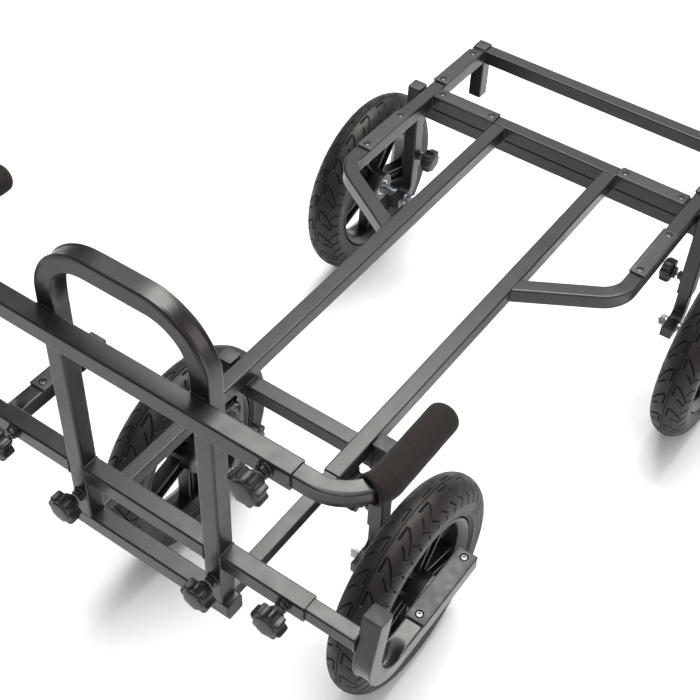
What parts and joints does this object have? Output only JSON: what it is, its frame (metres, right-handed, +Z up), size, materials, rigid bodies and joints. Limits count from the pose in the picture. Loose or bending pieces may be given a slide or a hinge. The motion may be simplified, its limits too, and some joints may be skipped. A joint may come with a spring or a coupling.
{
  "type": "equipment cart",
  "caption": "Wheeled field-gear cart: black square-tube ladder frame on sliding wheel legs, with a telescopic hoop front, foam arms, side arms and clamp knobs.",
  "frame": {"origin": "middle of the bounding box, on the floor that the wheels stand on", "axes": "+Z up, +Y towards the rear end tube, +X towards the cart's right side"},
  "size_m": [0.6936, 1.1326, 0.773],
  "materials": {
    "black_tube": "satin",
    "black_plastic": "matte",
    "black_screw": "satin",
    "foam": "matte",
    "zinc": "satin",
    "tyre": "matte",
    "inner_rubber": "matte",
    "rim_plastic": "satin",
    "knob_plastic": "satin"
  },
  "bodies": {
    "frame": {"long_rails": "black_tube", "rear_cross_tube": "black_tube", "rear_axle_tube": "black_tube", "front_axle_tube": "black_tube", "side_rails": "black_tube", "rear_end_tube": "black_tube", "corner_posts": "black_tube", "front_sleeves": "black_tube", "rear_sleeves": "black_tube", "tube_caps": "black_plastic", "platform_pads": "black_plastic", "pad_screws": "black_screw", "frame_bosses": "black_tube"},
    "front_slide": {"inner_rails": "black_tube", "base_tube": "black_tube", "base_caps": "black_plastic"},
    "hoop_frame": {"hoop_tube": "black_tube", "handle_crossbar": "black_tube", "lower_cross_tube": "black_tube", "hoop_bosses": "black_tube"},
    "foam_arm_left": {"foam_arm_tube_left": "black_tube", "foam_grip_left": "foam"},
    "side_arm_left_body": {"side_arm_left": "black_tube", "side_arm_trim_left": "black_plastic"},
    "foam_arm_right": {"foam_arm_tube_right": "black_tube", "foam_grip_right": "foam"},
    "side_arm_right_body": {"side_arm_right": "black_tube", "side_arm_trim_right": "black_plastic"},
    "leg_front_left": {"strut_front_left": "black_tube", "axle_front_left": "zinc"},
    "wheel_front_left": {"tyre_front_left": "tyre", "inner_tube_front_left": "inner_rubber", "rim_front_left": "rim_plastic"},
    "leg_front_right": {"strut_front_right": "black_tube", "axle_front_right": "zinc"},
    "wheel_front_right": {"tyre_front_right": "tyre", "inner_tube_front_right": "inner_rubber", "rim_front_right": "rim_plastic"},
    "leg_rear_left": {"strut_rear_left": "black_tube", "axle_rear_left": "zinc"},
    "wheel_rear_left": {"tyre_rear_left": "tyre", "inner_tube_rear_left": "inner_rubber", "rim_rear_left": "rim_plastic"},
    "leg_rear_right": {"strut_rear_right": "black_tube", "axle_rear_right": "zinc"},
    "wheel_rear_right": {"tyre_rear_right": "tyre", "inner_tube_rear_right": "inner_rubber", "rim_rear_right": "rim_plastic"},
    "crossbar_knob_left_body": {"crossbar_knob_left": "knob_plastic"},
    "lower_knob_left_body": {"lower_knob_left": "knob_plastic"},
    "post_knob_left_body": {"post_knob_left": "knob_plastic"},
    "rail_knob_left_body": {"rail_knob_left": "knob_plastic"},
    "crossbar_knob_right_body": {"crossbar_knob_right": "knob_plastic"},
    "lower_knob_right_body": {"lower_knob_right": "knob_plastic"},
    "post_knob_right_body": {"post_knob_right": "knob_plastic"},
    "rail_knob_right_body": {"rail_knob_right": "knob_plastic"},
    "sleeve_knob_front_left_body": {"sleeve_knob_front_left": "knob_plastic"},
    "sleeve_knob_front_right_body": {"sleeve_knob_front_right": "knob_plastic"},
    "sleeve_knob_rear_left_body": {"sleeve_knob_rear_left": "knob_plastic"},
    "sleeve_knob_rear_right_body": {"sleeve_knob_rear_right": "knob_plastic"}
  },
  "joints": [
    {"name": "front_extension", "type": "slide", "parent": "frame", "child": "front_slide", "axis": [0, 1, 0], "range_m": [-0.12, 0.12]},
    {"name": "hoop_height", "type": "slide", "parent": "front_slide", "child": "hoop_frame", "axis": [0, 0, 1], "range_m": [0, 0.06]},
    {"name": "foam_arm_reach_left", "type": "slide", "parent": "hoop_frame", "child": "foam_arm_left", "axis": [-1, 0, 0], "range_m": [-0.018, 0.08]},
    {"name": "side_arm_reach_left", "type": "slide", "parent": "hoop_frame", "child": "side_arm_left_body", "axis": [-1, 0, 0], "range_m": [-0.003, 0.06]},
    {"name": "foam_arm_reach_right", "type": "slide", "parent": "hoop_frame", "child": "foam_arm_right", "axis": [1, 0, 0], "range_m": [-0.018, 0.08]},
    {"name": "side_arm_reach_right", "type": "slide", "parent": "hoop_frame", "child": "side_arm_right_body", "axis": [1, 0, 0], "range_m": [-0.018, 0.045]},
    {"name": "leg_height_front_left", "type": "slide", "parent": "frame", "child": "leg_front_left", "axis": [0, 0, 1], "range_m": [-0.06, 0.02]},
    {"name": "wheel_spin_front_left", "type": "hinge", "parent": "leg_front_left", "child": "wheel_front_left", "pos_m": [-0.1811, -0.2462, 0.155], "axis": [1, 0, 0], "continuous": true},
    {"name": "leg_height_front_right", "type": "slide", "parent": "frame", "child": "leg_front_right", "axis": [0, 0, 1], "range_m": [-0.06, 0.02]},
    {"name": "wheel_spin_front_right", "type": "hinge", "parent": "leg_front_right", "child": "wheel_front_right", "pos_m": [0.1811, -0.2462, 0.155], "axis": [1, 0, 0], "continuous": true},
    {"name": "leg_height_rear_left", "type": "slide", "parent": "frame", "child": "leg_rear_left", "axis": [0, 0, 1], "range_m": [-0.06, 0.02]},
    {"name": "wheel_spin_rear_left", "type": "hinge", "parent": "leg_rear_left", "child": "wheel_rear_left", "pos_m": [-0.3111, 0.3799, 0.155], "axis": [1, 0, 0], "continuous": true},
    {"name": "leg_height_rear_right", "type": "slide", "parent": "frame", "child": "leg_rear_right", "axis": [0, 0, 1], "range_m": [-0.06, 0.02]},
    {"name": "wheel_spin_rear_right", "type": "hinge", "parent": "leg_rear_right", "child": "wheel_rear_right", "pos_m": [0.3111, 0.3799, 0.155], "axis": [1, 0, 0], "continuous": true},
    {"name": "crossbar_knob_left_turn", "type": "hinge", "parent": "hoop_frame", "child": "crossbar_knob_left_body", "pos_m": [-0.183, -0.5369, 0.6742], "axis": [0, -1, 0], "range_deg": [0, 540]},
    {"name": "lower_knob_left_turn", "type": "hinge", "parent": "hoop_frame", "child": "lower_knob_left_body", "pos_m": [-0.185, -0.5147, 0.4392], "axis": [0, -1, 0], "range_deg": [0, 540]},
    {"name": "post_knob_left_turn", "type": "hinge", "parent": "hoop_frame", "child": "post_knob_left_body", "pos_m": [-0.093, -0.5147, 0.4], "axis": [0, -1, 0], "range_deg": [0, 540]},
    {"name": "rail_knob_left_turn", "type": "hinge", "parent": "frame", "child": "rail_knob_left_body", "pos_m": [-0.093, -0.262, 0.3339], "axis": [0, 0, -1], "range_deg": [0, 540]},
    {"name": "crossbar_knob_right_turn", "type": "hinge", "parent": "hoop_frame", "child": "crossbar_knob_right_body", "pos_m": [0.183, -0.5369, 0.6742], "axis": [0, -1, 0], "range_deg": [0, 540]},
    {"name": "lower_knob_right_turn", "type": "hinge", "parent": "hoop_frame", "child": "lower_knob_right_body", "pos_m": [0.185, -0.5147, 0.4392], "axis": [0, -1, 0], "range_deg": [0, 540]},
    {"name": "post_knob_right_turn", "type": "hinge", "parent": "hoop_frame", "child": "post_knob_right_body", "pos_m": [0.093, -0.5147, 0.4], "axis": [0, -1, 0], "range_deg": [0, 540]},
    {"name": "rail_knob_right_turn", "type": "hinge", "parent": "frame", "child": "rail_knob_right_body", "pos_m": [0.093, -0.262, 0.3339], "axis": [0, 0, -1], "range_deg": [0, 540]},
    {"name": "sleeve_knob_front_left_turn", "type": "hinge", "parent": "frame", "child": "sleeve_knob_front_left_body", "pos_m": [-0.0994, -0.2239, 0.232], "axis": [1, 0, 0], "range_deg": [0, 540]},
    {"name": "sleeve_knob_front_right_turn", "type": "hinge", "parent": "frame", "child": "sleeve_knob_front_right_body", "pos_m": [0.0994, -0.2239, 0.232], "axis": [-1, 0, 0], "range_deg": [0, 540]},
    {"name": "sleeve_knob_rear_left_turn", "type": "hinge", "parent": "frame", "child": "sleeve_knob_rear_left_body", "pos_m": [-0.2294, 0.4022, 0.232], "axis": [1, 0, 0], "range_deg": [0, 540]},
    {"name": "sleeve_knob_rear_right_turn", "type": "hinge", "parent": "frame", "child": "sleeve_knob_rear_right_body", "pos_m": [0.2294, 0.4022, 0.232], "axis": [-1, 0, 0], "range_deg": [0, 540]}
  ]
}
